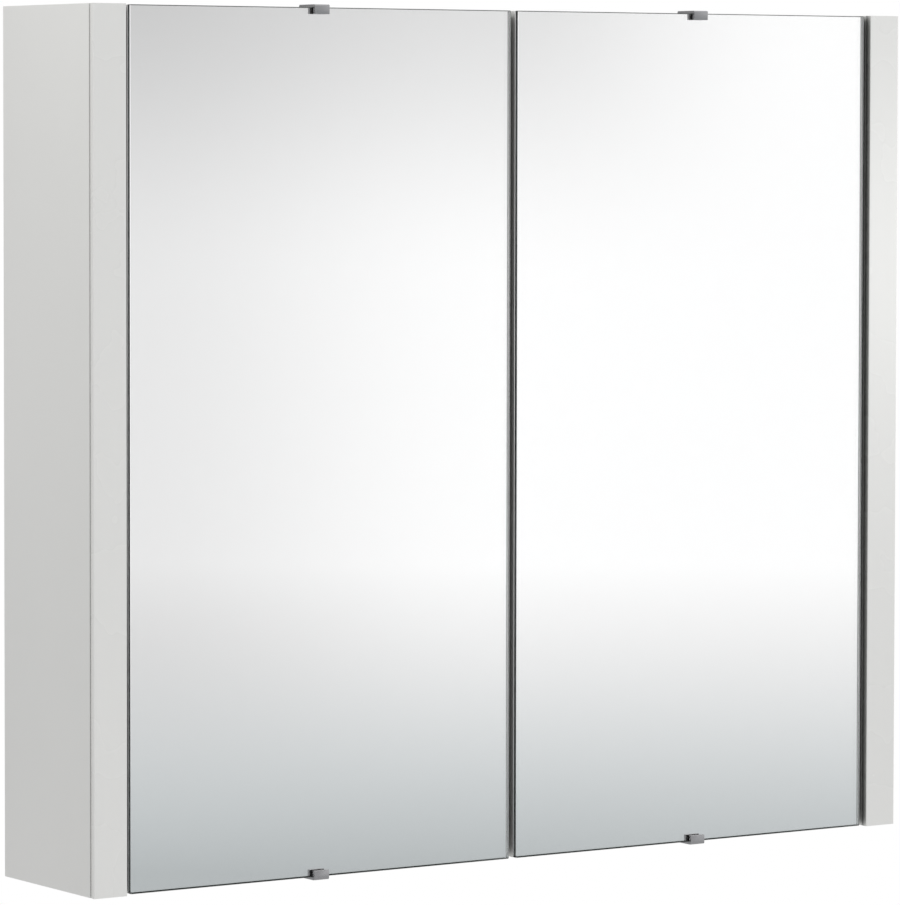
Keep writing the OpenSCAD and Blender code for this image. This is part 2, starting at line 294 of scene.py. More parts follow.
@lru_cache(maxsize=None)
def wipe_group() -> Tree:
    """Faint wipe marks left by a cloth: a Haze from 0 to 1 in long arcs.

    Returns:
        The group.
    """
    wiring, given, result = shader_group(
        "wipe_marks", {"Scale": ("Float", 9.0)}, {"Haze": "Float"}
    )
    place = wiring.place()
    bend = wiring.add("ShaderNodeTexNoise", {"Vector": place, "Scale": 2.3, "Detail": 1.0})
    bent = wiring.add(
        "ShaderNodeVectorMath", {0: bend.outputs["Color"], 1: (0.35, 0.35, 0.35), 2: place},
        operation="MULTIPLY_ADD",
    )
    long = wiring.add("ShaderNodeMapping", {"Vector": bent.outputs[0], "Scale": (1.0, 1.0, 7.0)})
    streaks = wiring.noise(long.outputs[0], given["Scale"], 4.0)
    wiring.feed(result["Haze"], wiring.ramp(streaks, 0.45, 0.72))
    return wiring.tree


# ---- finishes
@dataclass(frozen=True)
class Finish:
    """What every finish shares: its name, the record's slot it stands for and its colour."""

    name: str
    slot: str
    colour: Colour

    @lru_cache(maxsize=None)
    def material(self) -> bpy.types.Material:
        """The finish as a material, made once.

        Returns:
            The material.
        """
        made = bpy.data.materials.new(self.name + "_finish")
        made.use_nodes = True
        made.diffuse_color = rgba(self.colour)
        made.node_tree.nodes.clear()
        wiring = Wiring(made.node_tree)
        shader = wiring.add("ShaderNodeBsdfPrincipled", {"Base Color": rgba(self.colour)})
        wiring.add("ShaderNodeOutputMaterial", {"Surface": shader.outputs["BSDF"]})
        self.dress(wiring, shader)
        return made

    def dress(self, wiring: Wiring, shader: Node) -> None:
        """Gives the shader this finish's own detail."""
        raise NotImplementedError

    def use(self, wiring: Wiring, group: Tree, **inputs: Value) -> Node:
        """Places a shared group with this finish's own values."""
        return wiring.add("ShaderNodeGroup", inputs, node_tree=group)

    def tinted(self, wiring: Wiring, mottle: Value, spread: float) -> Socket:
        """The colour, darker and lighter in places.

        Args:
            wiring: The material's tree.
            mottle: Where it is lighter, from 0 to 1.
            spread: The largest change, as a share of the colour.

        Returns:
            The colour's socket.
        """
        dark = rgba(tuple(c * (1 - spread) for c in self.colour))
        light = rgba(tuple(min(1.0, c * (1 + spread)) for c in self.colour))
        return wiring.mix(mottle, dark, light)

    def bump(self, wiring: Wiring, shader: Node, height: Value, depth: float) -> None:
        """Bumps the surface by the given depth in metres."""
        node = wiring.add("ShaderNodeBump", {"Height": height, "Strength": 1.0, "Distance": depth})
        wiring.feed(shader.inputs["Normal"], node.outputs["Normal"])


@dataclass(frozen=True)
class BoardFinish(Finish):
    """Melamine or lacquer on board: a fine skin texture, dust on top faces and dulled arrises."""

    roughness: float = 0.32
    grain_scale: float = 900.0
    grain_depth: float = 0.02 * MM
    dust: float = 0.22
    wear: float = 0.35
    # painted shade in narrow gaps: its strength, and the occlusion levels where it is full and where it is
    # gone
    gap_shade: float = 0.9
    gap_shade_full: float = 0.2
    gap_shade_none: float = 0.7
    worn_colour: Colour = (0.66, 0.63, 0.58)
    dust_colour: Colour = (0.72, 0.70, 0.66)
    # near-black colour of the painted shade in gaps
    gap_shade_colour: Colour = (0.06, 0.06, 0.057)

    def dress(self, wiring: Wiring, shader: Node) -> None:
        """Skin texture, a film of dust, dulled arrises and painted shade in narrow gaps and crevices.

        Args:
            wiring: The material's tree.
            shader: Its shader.
        """
        grain = self.use(wiring, grain_group(), Scale=self.grain_scale)
        mottle = grain.outputs["Mottle"]
        dust = self.use(wiring, dust_group(), Amount=self.dust).outputs["Cover"]
        wear = self.use(wiring, wear_group(), Amount=self.wear).outputs["Mask"]
        colour = self.tinted(wiring, mottle, 0.008)
        colour = wiring.mix(dust, colour, rgba(self.dust_colour))
        colour = wiring.mix(wear, colour, rgba(self.worn_colour))
        # painted shade: darkens the colour towards near black in gaps and crevices where the occlusion is
        # low
        levels = {"Amount": self.gap_shade, "Full below": self.gap_shade_full, "None above": self.gap_shade_none}
        gap_shade = self.use(wiring, painted_gap_shade_group(), **levels).outputs["Mask"]
        gloss = wiring.ramp(mottle, 0.3, 0.7, self.roughness - 0.04, self.roughness + 0.05)
        dulled = wiring.math("MULTIPLY_ADD", dust, 0.5, gloss)
        wiring.fill(shader, {
            "Base Color": wiring.mix(gap_shade, colour, rgba(self.gap_shade_colour)),
            "Roughness": wiring.math("MULTIPLY_ADD", wear, 0.25, dulled),
        })
        self.bump(wiring, shader, grain.outputs["Height"], self.grain_depth)


@dataclass(frozen=True)
class MetalFinish(Finish):
    """Plated or cast metal: drawn grain, brighter worn arrises and uneven gloss."""

    roughness: float = 0.3
    grain_scale: float = 1500.0
    grain_depth: float = 0.01 * MM
    stretch: tuple[float, float, float] = (1.0, 1.0, 1.0)
    wear: float = 0.8
    worn_colour: Colour = (0.86, 0.84, 0.80)
    mottle_spread: float = 0.05

    def dress(self, wiring: Wiring, shader: Node) -> None:
        """Drawn grain, bright arrises and uneven gloss.

        Args:
            wiring: The material's tree.
            shader: Its shader.
        """
        grain = self.use(wiring, grain_group(), Scale=self.grain_scale, Stretch=self.stretch)
        wear = self.use(wiring, wear_group(), Amount=self.wear, Radius=0.5 * MM).outputs["Mask"]
        colour = self.tinted(wiring, grain.outputs["Mottle"], self.mottle_spread)
        height = grain.outputs["Height"]
        gloss = wiring.ramp(height, 0.4, 1.0, self.roughness - 0.06, self.roughness + 0.10)
        wiring.fill(shader, {
            "Base Color": wiring.mix(wear, colour, rgba(self.worn_colour)), "Metallic": 1.0,
            "Roughness": wiring.math("MULTIPLY_ADD", wear, -0.08, gloss),
        })
        self.bump(wiring, shader, height, self.grain_depth)


@dataclass(frozen=True)
class GlassFinish(Finish):
    """Clear float glass with faint wipe marks, or its ground edge."""

    haze: float = 0.006
    ground: float = 0.0
    refraction: float = 1.52

    def dress(self, wiring: Wiring, shader: Node) -> None:
        """Plain transmission, with gloss that the wipe marks vary a little.

        Args:
            wiring: The material's tree.
            shader: Its shader.
        """
        haze = self.use(wiring, wipe_group()).outputs["Haze"]
        wiring.fill(shader, {
            "Transmission Weight": 1.0, "IOR": self.refraction,
            "Roughness": wiring.math("MULTIPLY_ADD", haze, self.haze, self.ground),
        })


@dataclass(frozen=True)
class SilverFinish(Finish):
    """The silver coat behind a mirror's glass."""

    roughness: float = 0.0

    def dress(self, wiring: Wiring, shader: Node) -> None:
        """A near-perfect reflector whose coat is a shade uneven.

        Args:
            wiring: The material's tree.
            shader: Its shader.
        """
        grain = self.use(wiring, grain_group(), Scale=260.0)
        wiring.fill(shader, {
            "Base Color": self.tinted(wiring, grain.outputs["Mottle"], 0.004),
            "Metallic": 1.0, "Roughness": self.roughness,
        })


@dataclass(frozen=True)
class CoatFinish(Finish):
    """Brushed-on lacquer, moulded plastic or soft rubber, with its own grain and see-through share."""

    roughness: float = 0.4
    grain_scale: float = 1200.0
    grain_depth: float = 0.01 * MM
    spread: float = 0.05
    clear: float = 0.0

    def dress(self, wiring: Wiring, shader: Node) -> None:
        """Fine grain in colour, gloss and relief.

        Args:
            wiring: The material's tree.
            shader: Its shader.
        """
        grain = self.use(wiring, grain_group(), Scale=self.grain_scale)
        mottle = grain.outputs["Mottle"]
        wiring.fill(shader, {
            "Base Color": self.tinted(wiring, mottle, self.spread), "Transmission Weight": self.clear,
            "Roughness": wiring.ramp(mottle, 0.3, 0.7, self.roughness - 0.05, self.roughness + 0.05),
        })
        self.bump(wiring, shader, grain.outputs["Height"], self.grain_depth)


@dataclass(frozen=True)
class WoodFinish(Finish):
    """Turned hardwood with its grain along X."""

    dark: Colour = (0.46, 0.31, 0.18)
    roughness: float = 0.6

    def dress(self, wiring: Wiring, shader: Node) -> None:
        """Long growth lines with short pores.

        Args:
            wiring: The material's tree.
            shader: Its shader.
        """
        place = wiring.place()
        drawn = wiring.add("ShaderNodeMapping", {"Vector": place, "Scale": (0.08, 1.0, 1.0)})
        lines = wiring.noise(drawn.outputs[0], 700.0, 3.0)
        pores = wiring.noise(drawn.outputs[0], 3200.0, 1.0)
        figure = wiring.times(wiring.ramp(lines, 0.4, 0.62), wiring.ramp(pores, 0.3, 0.6))
        wiring.fill(shader, {
            "Base Color": wiring.mix(figure, rgba(self.dark), rgba(self.colour)),
            "Roughness": wiring.ramp(figure, 0.0, 1.0, self.roughness, 0.45),
        })
        self.bump(wiring, shader, figure, 0.05 * MM)


WHITE_BOARD = BoardFinish("white_board", "white_board", (0.80, 0.80, 0.785))
# the edging carries a stronger painted shade, which darkens its shadow joint groove and the gaps beside it
WHITE_EDGING = BoardFinish(
    "white_edging", "white_edging", (0.82, 0.82, 0.805), roughness=0.26, dust=0.1, gap_shade=0.97,
    gap_shade_full=0.5, gap_shade_none=0.92,
)
BACK_BOARD = BoardFinish(
    "back_board", "back_board", (0.78, 0.775, 0.755), roughness=0.42, grain_scale=420.0,
    grain_depth=0.05 * MM,
)
DOOR_BOARD = BoardFinish("door_board", "door_board", (0.80, 0.80, 0.785))
MIRROR_GLASS = GlassFinish("mirror_glass", "mirror_glass", (0.995, 0.996, 0.995), haze=0.0012)
MIRROR_SILVER = SilverFinish("mirror_silver", "mirror_glass", (0.945, 0.945, 0.948))
MIRROR_EDGE = GlassFinish("mirror_glass_edge", "mirror_glass", (0.62, 0.74, 0.69), ground=0.5)
EDGE_SEAL = CoatFinish("edge_seal", "mirror_glass", (0.055, 0.065, 0.06), roughness=0.34, spread=0.3)
SHELF_GLASS = GlassFinish("shelf_glass", "shelf_glass", (0.955, 0.985, 0.972), haze=0.004)
SHELF_EDGE = GlassFinish("shelf_glass_edge", "shelf_glass", (0.42, 0.72, 0.61), haze=0.05)
NICKEL_PLATE = MetalFinish("nickel_plate", "nickel_plate", (0.66, 0.64, 0.60), roughness=0.27)
NICKEL_CLIP = MetalFinish(
    "nickel_clip", "nickel_clip", (0.36, 0.36, 0.37), roughness=0.3, stretch=(0.1, 1.0, 1.0),
    worn_colour=(0.55, 0.55, 0.56),
)
STEEL = MetalFinish("steel_fastener", "steel_fastener", (0.63, 0.64, 0.65), roughness=0.33)
ZINC = MetalFinish(
    "zinc_casting", "zinc_casting", (0.50, 0.51, 0.52), roughness=0.5, grain_scale=800.0,
    grain_depth=0.03 * MM,
)
WHITE_PLASTIC = CoatFinish("white_plastic", "white_plastic", (0.80, 0.80, 0.78), spread=0.01)
BEECH = WoodFinish("beech_dowel", "beech_dowel", (0.66, 0.50, 0.33))
RUBBER = CoatFinish("clear_rubber", "clear_rubber", (0.86, 0.87, 0.86), clear=0.6, spread=0.02)
FLOOR_PAINT = CoatFinish("floor_paint", "white_board", (0.80, 0.80, 0.80), roughness=0.7, grain_scale=90.0)


# ---- mesh making
def piece(node: str, suffix: str, body: str, finish: Finish, mesh: BMesh) -> Object:
    """Makes a finished piece from a mesh and puts it on its body.

    Args:
        node: The CAD node that it stands for.
        suffix: What its name adds to the node's.
        body: The body it rides on.
        finish: Its finish.
        mesh: Its shape, which is freed here.

    Returns:
        The piece's object.
    """
    bmesh.ops.recalc_face_normals(mesh, faces=mesh.faces)
    name = f"{node}_{suffix}"
    data = bpy.data.meshes.new(name)
    mesh.to_mesh(data)
    mesh.free()
    made = bpy.data.objects.new(name, data)
    bpy.context.scene.collection.objects.link(made)
    made.data.materials.append(finish.material())
    return settle(made, node, body)


def settle(made: Object, node: str, body: str) -> Object:
    """Shades a piece, puts it on its body and says what it stands for.

    Args:
        made: The piece's object.
        node: The CAD node that it stands for.
        body: The body it rides on.

    Returns:
        The same object.
    """
    made.data.shade_smooth()
    made.data.set_sharp_from_angle(angle=SMOOTH)
    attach(made, body)
    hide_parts(node)
    log.info("%s: %d faces on %s", made.name, len(made.data.polygons), body)
    return made


def refinish(node: str, finish: Finish) -> None:
    """Keeps a CAD node's shape and gives it a finish.

    Args:
        node: The CAD node.
        finish: Its finish.
    """
    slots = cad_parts[node].data.materials
    slots.clear()
    slots.append(finish.material())
    log.info("%s: kept with a new finish", node)


def cad_mesh(node: str) -> BMesh:
    """A CAD node's mesh with its loose triangles joined.

    Args:
        node: The CAD node.

    Returns:
        The new mesh.
    """
    mesh = bmesh.new()
    mesh.from_mesh(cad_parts[node].data)
    bmesh.ops.remove_doubles(mesh, verts=mesh.verts, dist=WELD)
    return mesh


def solids(node: str) -> list[tuple[Vector, Vector]]:
    """The boxes of a CAD node's separate solids.

    Args:
        node: The CAD node.

    Returns:
        Lowest and highest corner of each solid, in a fixed order.
    """
    mesh = cad_mesh(node)
    seen: set[int] = set()
    boxes = []
    for start in mesh.verts:
        if start.index in seen:
            continue
        seen.add(start.index)
        reached = [start]
        for vert in reached:
            for edge in vert.link_edges:
                other = edge.other_vert(vert)
                if other.index not in seen:
                    seen.add(other.index)
                    reached.append(other)
        spread = [sorted(v.co[axis] for v in reached) for axis in range(3)]
        boxes.append((Vector(s[0] for s in spread), Vector(s[-1] for s in spread)))
    mesh.free()
    return sorted(boxes, key=lambda box: [round(c, 5) for c in (*box[0], *box[1])])


def softened(node: str, radius: float, segments: int = 2, shortest: float = 1.2 * MM) -> BMesh:
    """A CAD node's shape with its long edges rounded.

    Args:
        node: The CAD node.
        radius: How far each edge is taken back.
        segments: Faces across each rounded edge.
        shortest: Edges shorter than this, as round a small hole, stay crisp.

    Returns:
        The new mesh.
    """
    mesh = cad_mesh(node)
    bmesh.ops.dissolve_limit(mesh, angle_limit=FLAT, verts=mesh.verts, edges=mesh.edges)
    round_off(mesh, radius, segments, shortest)
    return mesh


def bevel(mesh: BMesh, edges: list[bmesh.types.BMEdge], radius: float, segments: int) -> None:
    """Rounds the given edges.

    Args:
        mesh: The mesh.
        edges: Its edges to round.
        radius: How far each edge is taken back.
        segments: Faces across each rounded edge.
    """
    bmesh.ops.bevel(
        mesh, geom=edges, offset=radius, offset_type="OFFSET", segments=segments, profile=0.5,
        affect="EDGES", clamp_overlap=False,
    )


def round_off(mesh: BMesh, radius: float, segments: int, shortest: float = 0.0) -> None:
    """Rounds a mesh's sharp edges.

    Args:
        mesh: The mesh.
        radius: How far each edge is taken back.
        segments: Faces across each rounded edge.
        shortest: Edges shorter than this stay crisp.
    """
    bevel(mesh, [
        e for e in mesh.edges
        if len(e.link_faces) == 2 and e.calc_face_angle(0.0) > CREASE and e.calc_length() > shortest
    ], radius, segments)


def slab(low: Sequence[float], high: Sequence[float], arris: float) -> BMesh:
    """A plate with flat arrises.

    Args:
        low: Its lowest corner.
        high: Its highest corner.
        arris: How far each edge is taken back.

    Returns:
        The new mesh.
    """
    mesh = bmesh.new()
    bmesh.ops.create_cube(mesh, size=1.0)
    for vert in mesh.verts:
        vert.co = Vector(high[i] if vert.co[i] > 0 else low[i] for i in range(3))
    round_off(mesh, arris, 1)
    return mesh


def end_bars(low: Vector, high: Vector, profile: Sequence[tuple[float, float]]) -> BMesh:
    """Two closed strips along a plate's upper and lower ends.

    Args:
        low: The plate's lowest corner.
        high: The plate's highest corner.
        profile: The strip's section, as distance in from the end and depth from the front.

    Returns:
        The mesh of both strips.
    """
    mesh = bmesh.new()
    for end, inwards in ((low.z, 1), (high.z, -1)):
        caps = [
            [mesh.verts.new((x, low.y + v, end + inwards * u)) for u, v in profile]
            for x in (low.x, high.x)
        ]
        for i in range(len(profile)):
            j = (i + 1) % len(profile)
            mesh.faces.new((caps[0][i], caps[0][j], caps[1][j], caps[1][i]))
        for cap in caps:
            mesh.faces.new(cap)
    return mesh


def ground_edges(glass: Object, finish: Finish) -> None:
    """Gives a plate's edge faces, all but the pair it is thinnest between, their own finish.

    Args:
        glass: The plate's object.
        finish: The finish of its edges.
    """
    thin = min(range(3), key=lambda axis: glass.dimensions[axis])
    glass.data.materials.append(finish.material())
    for face in glass.data.polygons:
        flat = max(abs(face.normal[axis]) for axis in range(3))
        face.material_index = 0 if abs(face.normal[thin]) > 0.9 or flat < 0.9 else 1


# ---- turned fittings
class Facing(Enum):
    """Which way a fitting's outer end points."""

    TO_MIDDLE = "along X to the middle of the cabinet"
    TO_END = "along Z away from the middle"
    TO_FRONT = "along -Y"
    TO_REAR = "along +Y"

    def aim(self, at: Vector) -> Vector:
        """The direction of a fitting's outer end.

        Args:
            at: The fitting's place.

        Returns:
            The direction, one long.
        """
        return {
            Facing.TO_MIDDLE: Vector((-math.copysign(1, at.x), 0, 0)),
            Facing.TO_END: Vector((0, 0, math.copysign(1, at.z))),
            Facing.TO_FRONT: Vector((0, -1, 0)),
            Facing.TO_REAR: Vector((0, 1, 0)),
        }[self]


class Recess(Enum):
    """What is cut into a fitting's outer end."""

    NONE = "plain"
    CROSS = "cross"
    BORE = "bore"


@dataclass(frozen=True)
class Turning:
    """One length of a turned fitting, counted from its outer end."""

    name: str
    length: float
    outer_radius: float
    inner_radius: float


def stack(**sizes: tuple[float, float, float]) -> tuple[Turning, ...]:
    """Turnings from the outer end down, by name: length, outer radius and inner radius in mm."""
    return tuple(Turning(name, *(size * MM for size in given)) for name, given in sizes.items())


@dataclass(frozen=True)
class Fitting:
    """A small turned part that repeats, with its node tree."""

    node: str
    body: str
    finish: Finish
    facing: Facing
    turnings: tuple[Turning, ...]
    recess: Recess = Recess.NONE
    recess_width: float = 1.0 * MM
    recess_reach: float = 2.0 * MM
    recess_depth: float = 1.0 * MM
    thread_rise: float = 0.0
    thread_pitch: float = 1.4 * MM
    flutes: int = 0
    flute_depth: float = 0.25 * MM
    sides: int = 48
    seed: int = 7
    overlap: float = 0.01 * MM

    def numbers(self) -> dict[str, float]:
        """The tree's number inputs.

        Returns:
            Each input's value, by name.
        """
        found = {
            label: getattr(self, label.lower().replace(" ", "_")) for label in
            ("Recess width", "Recess reach", "Recess depth", "Thread rise", "Thread pitch", "Flute depth")
        }
        for part in self.turnings:
            for size in ("length", "outer radius", "inner radius"):
                found[f"{part.name} {size}"] = getattr(part, size.replace(" ", "_"))
        return found

    def tree(self) -> Tree:
        """Builds the node tree: the turned shape, its recess, thread and flutes, set on every point.

        Returns:
            The tree.
        """
        group = bpy.data.node_groups.new(self.node + "_tree", "GeometryNodeTree")
        face = group.interface
        face.new_socket("Geometry", in_out="INPUT", socket_type="NodeSocketGeometry")
        for label in self.numbers():
            face.new_socket(label, in_out="INPUT", socket_type="NodeSocketFloat")
        face.new_socket("Seed", in_out="INPUT", socket_type="NodeSocketInt")
        face.new_socket("Finish", in_out="INPUT", socket_type="NodeSocketMaterial")
        face.new_socket("Geometry", in_out="OUTPUT", socket_type="NodeSocketGeometry")
        wiring = Wiring(group)
        given = wiring.add("NodeGroupInput").outputs
        shape = self.turned(wiring, given)
        if self.flutes:
            shape = self.fluted(wiring, given, shape)
        if self.recess is not Recess.NONE:
            shape = self.recessed(wiring, given, shape)
        if self.thread_rise:
            shape = self.threaded(wiring, given, shape)
        placed = self.placed(wiring, given, shape)
        real = wiring.add("GeometryNodeRealizeInstances", {"Geometry": placed})
        dressed = wiring.add(
            "GeometryNodeSetMaterial", {"Geometry": real.outputs[0], "Material": given["Finish"]}
        )
        wiring.add("NodeGroupOutput", {0: dressed.outputs[0]})
        return group

    def turned(self, wiring: Wiring, given: Sockets) -> Socket:
        """Stacks the turnings down from the outer end at z = 0 and joins them into one solid.

        Args:
            wiring: The tree's wiring.
            given: The tree's inputs.

        Returns:
            The solid.
        """
        end: Value = 0.0
        union = wiring.add("GeometryNodeMeshBoolean", operation="UNION", solver="EXACT")
        for i, part in enumerate(self.turnings):
            length = given[part.name + " length"]
            end = wiring.math("SUBTRACT", end, length)
            cone = wiring.add("GeometryNodeMeshCone", {
                "Vertices": self.sides,
                "Radius Top": given[part.name + " outer radius"],
                "Radius Bottom": given[part.name + " inner radius"],
                "Depth": wiring.math("ADD", length, self.overlap if i else 0.0),
            })
            moved = wiring.add("GeometryNodeTransform", {
                "Geometry": cone.outputs["Mesh"], "Translation": wiring.vector(z=end),
            })
            wiring.feed(union.inputs["Mesh 2"], moved.outputs[0])
        return union.outputs["Mesh"]

    def recessed(self, wiring: Wiring, given: Sockets,
                 shape: Socket) -> Socket:
        """Cuts the recess into the outer end.

        Args:
            wiring: The tree's wiring.
            given: The tree's inputs.
            shape: The solid.

        Returns:
            The cut solid.
        """
        cut = wiring.add(
            "GeometryNodeMeshBoolean", {"Mesh 1": shape}, operation="DIFFERENCE", solver="EXACT"
        )
        depth = wiring.times(given["Recess depth"], 2.0)
        if self.recess is Recess.BORE:
            drill = wiring.add("GeometryNodeMeshCylinder", {
                "Vertices": self.sides, "Radius": given["Recess reach"], "Depth": depth,
            })
            wiring.feed(cut.inputs["Mesh 2"], drill.outputs["Mesh"])
            return cut.outputs["Mesh"]
        across = wiring.times(given["Recess reach"], 2.0)
        width = given["Recess width"]
        for size in (wiring.vector(across, width, depth), wiring.vector(width, across, depth)):
            bar = wiring.add("GeometryNodeMeshCube", {"Size": size})
            wiring.feed(cut.inputs["Mesh 2"], bar.outputs["Mesh"])
        return cut.outputs["Mesh"]

    def threaded(self, wiring: Wiring, given: Sockets,
                 shape: Socket) -> Socket:
        """Winds a thread ridge round the last turning but one.

        Args:
            wiring: The tree's wiring.
            given: The tree's inputs.
            shape: The solid.

        Returns:
            The solid and its ridge.
        """
        shank = self.turnings[-2]
        length = wiring.times(given[shank.name + " length"], 0.9)
        turns = wiring.math("DIVIDE", length, given["Thread pitch"])
        spiral = wiring.add("GeometryNodeCurveSpiral", {
            "Resolution": 16, "Rotations": turns, "Start Radius": given[shank.name + " inner radius"],
            "End Radius": given[shank.name + " inner radius"], "Height": length,
        })
        ridge = wiring.add("GeometryNodeCurvePrimitiveCircle", {
            "Resolution": 3, "Radius": given["Thread rise"],
        })
        swept = wiring.add("GeometryNodeCurveToMesh", {
            "Curve": spiral.outputs[0], "Profile Curve": ridge.outputs[0], "Fill Caps": True,
        })
        start: Value = 0.0
        for part in self.turnings[:-1]:
            start = wiring.math("SUBTRACT", start, given[part.name + " length"])
        moved = wiring.add("GeometryNodeTransform", {
            "Geometry": swept.outputs[0], "Translation": wiring.vector(z=start),
        })
        joined = wiring.add("GeometryNodeJoinGeometry")
        wiring.feed(joined.inputs[0], shape)
        wiring.feed(joined.inputs[0], moved.outputs[0])
        return joined.outputs[0]

    def fluted(self, wiring: Wiring, given: Sockets,
               shape: Socket) -> Socket:
        """Presses straight flutes into the sides.

        Args:
            wiring: The tree's wiring.
            given: The tree's inputs.
            shape: The solid.

        Returns:
            The fluted solid.
        """
        spot = wiring.add("GeometryNodeInputPosition").outputs[0]
        axes = wiring.add("ShaderNodeSeparateXYZ", {0: spot})
        angle = wiring.math("ARCTAN2", axes.outputs[1], axes.outputs[0])
        wave = wiring.math("COSINE", wiring.times(angle, float(self.flutes)))
        press = wiring.times(wiring.math("MULTIPLY_ADD", wave, 0.5, -0.5), given["Flute depth"])
        out = wiring.add(
            "ShaderNodeVectorMath", {0: wiring.vector(axes.outputs[0], axes.outputs[1])},
            operation="NORMALIZE",
        )
        push = wiring.add(
            "ShaderNodeVectorMath", {0: out.outputs[0], "Scale": press}, operation="SCALE"
        )
        moved = wiring.add("GeometryNodeSetPosition", {"Geometry": shape, "Offset": push.outputs[0]})
        return moved.outputs[0]

    def placed(self, wiring: Wiring, given: Sockets,
               shape: Socket) -> Socket:
        """Sets the shape on every point, aimed by the point's own direction and turned at random.

        Args:
            wiring: The tree's wiring.
            given: The tree's inputs.
            shape: The finished shape.

        Returns:
            The instances.
        """
        aim = wiring.add("GeometryNodeInputNamedAttribute", {"Name": "aim"}, data_type="FLOAT_VECTOR")
        aligned = wiring.add(
            "FunctionNodeAlignRotationToVector", {"Vector": aim.outputs[0]}, axis="Z"
        )
        turn = wiring.add(
            "FunctionNodeRandomValue", {2: 0.0, 3: math.tau, "Seed": given["Seed"]}, data_type="FLOAT"
        )
        spin = wiring.add("FunctionNodeAxisAngleToRotation", {"Axis": (0, 0, 1), "Angle": turn.outputs[1]})
        both = wiring.add(
            "FunctionNodeRotateRotation", {0: aligned.outputs[0], 1: spin.outputs[0]},
            rotation_space="LOCAL",
        )
        made = wiring.add("GeometryNodeInstanceOnPoints", {
            "Points": given["Geometry"], "Instance": shape, "Rotation": both.outputs[0],
        })
        return made.outputs[0]

    def build(self) -> Object:
        """Runs the tree on a point for each of the node's solids and keeps the plain mesh.

        Returns:
            The piece's object.
        """
        places, aims = [], []
        for low, high in solids(self.node):
            middle = (low + high) / 2
            aim = self.facing.aim(middle)
            reach = Vector(abs(aim[i]) * (high[i] - low[i]) / 2 for i in range(3)).length
            places.append(middle + aim * reach)
            aims.append(aim)
        name = self.node + "_detailed"
        points = bpy.data.meshes.new(name + "_points")
        points.from_pydata([tuple(p) for p in places], [], [])
        held = points.attributes.new("aim", "FLOAT_VECTOR", "POINT")
        held.data.foreach_set("vector", [c for aim in aims for c in aim])
        made = bpy.data.objects.new(name, points)
        bpy.context.scene.collection.objects.link(made)
        tree = self.tree()
        modifier = made.modifiers.new("fitting", "NODES")
        modifier.node_group = tree
        sockets = {s.name: s.identifier for s in tree.interface.items_tree if s.in_out == "INPUT"}
        for label, value in self.numbers().items():
            modifier[sockets[label]] = float(value)
        modifier[sockets["Seed"]] = self.seed
        modifier[sockets["Finish"]] = self.finish.material()
        graph = bpy.context.evaluated_depsgraph_get()
        plain = bpy.data.meshes.new_from_object(
            made.evaluated_get(graph), preserve_all_data_layers=True, depsgraph=graph
        )
        made.modifiers.clear()
        made.data = plain
        plain.name = name
        return settle(made, self.node, self.body)


def screw(node: str, body: str, facing: Facing, head: float, rim: float, head_h: float,
          shank: float, shank_l: float) -> Fitting:
    """A screw with a domed head, a cross recess and a thread.

    Args:
        node: The CAD node that it replaces.
        body: The body that it rides on.
        facing: Which way its head points.
        head: The head's radius on its seat.
        rim: The head's radius near its top.
        head_h: The head's height.
        shank: The shank's radius.
        shank_l: The shank's length.

    Returns:
        The fitting.
    """
    crown = 0.22 * head_h
    tip = 1.8 * shank
    return Fitting(
        node, body, STEEL, facing,
        (
            Turning("Crown", crown, 0.80 * rim, rim),
            Turning("Head", head_h - crown, rim, head),
            Turning("Shank", shank_l - tip, 0.82 * shank, 0.82 * shank),
            Turning("Tip", tip, 0.82 * shank, 0.15 * shank),
        ),
        recess=Recess.CROSS, recess_width=0.26 * rim, recess_reach=0.6 * rim, recess_depth=0.55 * head_h,
        thread_rise=0.18 * shank, thread_pitch=0.65 * shank,
    )


